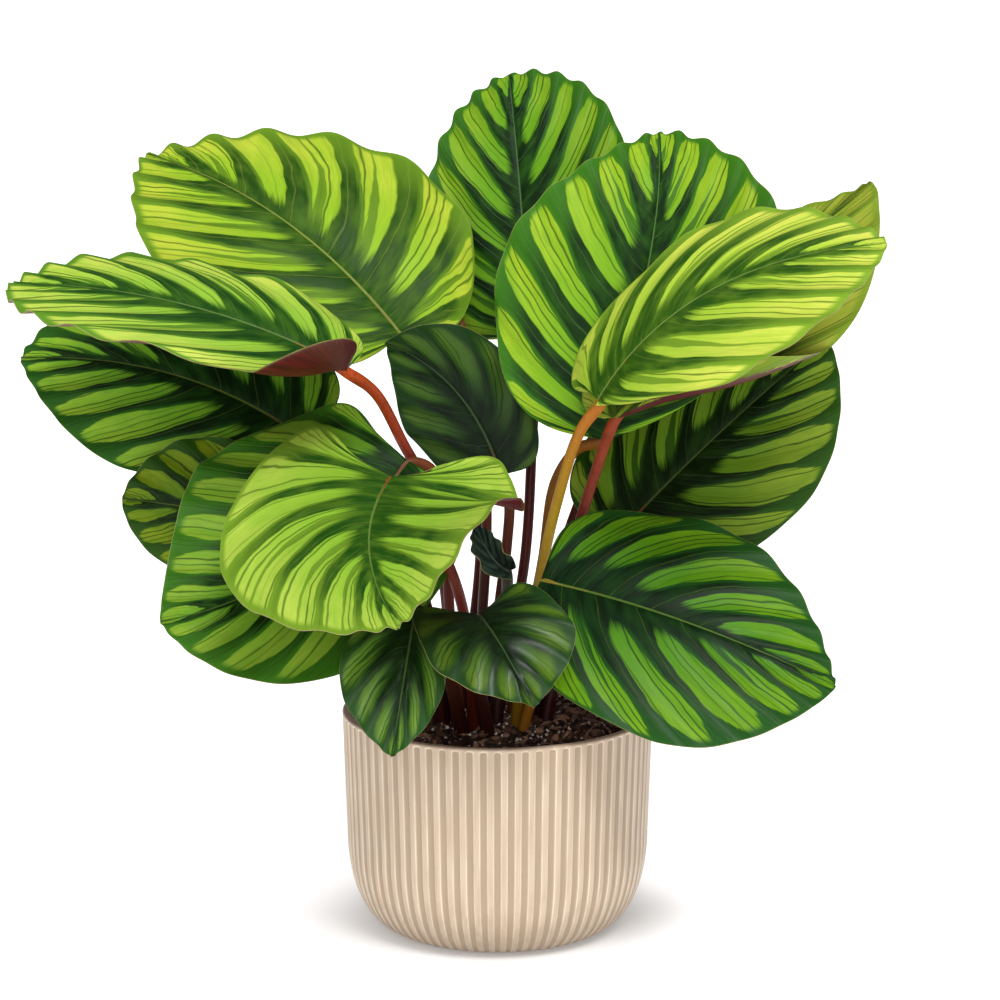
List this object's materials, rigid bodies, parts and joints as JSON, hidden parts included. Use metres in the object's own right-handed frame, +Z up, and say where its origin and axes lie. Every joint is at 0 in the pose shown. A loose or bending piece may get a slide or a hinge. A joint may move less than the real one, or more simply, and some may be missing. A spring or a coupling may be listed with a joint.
{
  "type": "potted calathea",
  "caption": "House plant with broad striped leaves on slender reddish stalks, growing in one clump from soil in a ribbed round stoneware pot.",
  "frame": {"origin": "middle of the pot's flat underside", "axes": "+Z up through the middle of the pot, +X to the plant's right as the picture sees it, -Y to the side that faces the viewer"},
  "size_m": [0.5252, 0.3797, 0.5185],
  "materials": {
    "stoneware": "satin",
    "soil": "rough",
    "stalk": "satin",
    "blade_light": "satin",
    "blade_mid": "satin",
    "blade_dark": "glossy"
  },
  "bodies": {
    "root": {"pot": "stoneware", "soil": "soil", "leaf_upper_left_blade": "blade_light", "leaf_upper_left_stalk": "stalk", "leaf_left_blade": "blade_light", "leaf_left_stalk": "stalk", "leaf_left_under_blade": "blade_dark", "leaf_left_under_stalk": "stalk", "leaf_left_small_blade": "blade_dark", "leaf_left_small_stalk": "stalk", "leaf_lower_left_blade": "blade_mid", "leaf_lower_left_stalk": "stalk", "leaf_front_left_blade": "blade_light", "leaf_front_left_stalk": "stalk", "leaf_centre_small_blade": "blade_dark", "leaf_centre_small_stalk": "stalk", "leaf_centre_right_blade": "blade_mid", "leaf_centre_right_stalk": "stalk", "leaf_right_blade": "blade_light", "leaf_right_stalk": "stalk", "leaf_right_upper_blade": "blade_light", "leaf_right_upper_stalk": "stalk", "leaf_top_blade": "blade_mid", "leaf_top_stalk": "stalk", "leaf_right_under_blade": "blade_dark", "leaf_right_under_stalk": "stalk", "leaf_lower_right_blade": "blade_dark", "leaf_lower_right_stalk": "stalk", "leaf_front_small_blade": "blade_dark", "leaf_front_small_stalk": "stalk", "leaf_rim_small_blade": "blade_dark", "leaf_rim_small_stalk": "stalk", "leaf_withered_blade": "blade_dark", "leaf_withered_stalk": "stalk", "leaf_back_left_blade": "blade_mid", "leaf_back_left_stalk": "stalk", "leaf_back_right_blade": "blade_mid", "leaf_back_right_stalk": "stalk", "leaf_back_low_right_blade": "blade_dark", "leaf_back_low_right_stalk": "stalk", "leaf_back_low_left_blade": "blade_dark", "leaf_back_low_left_stalk": "stalk"}
  },
  "joints": []
}
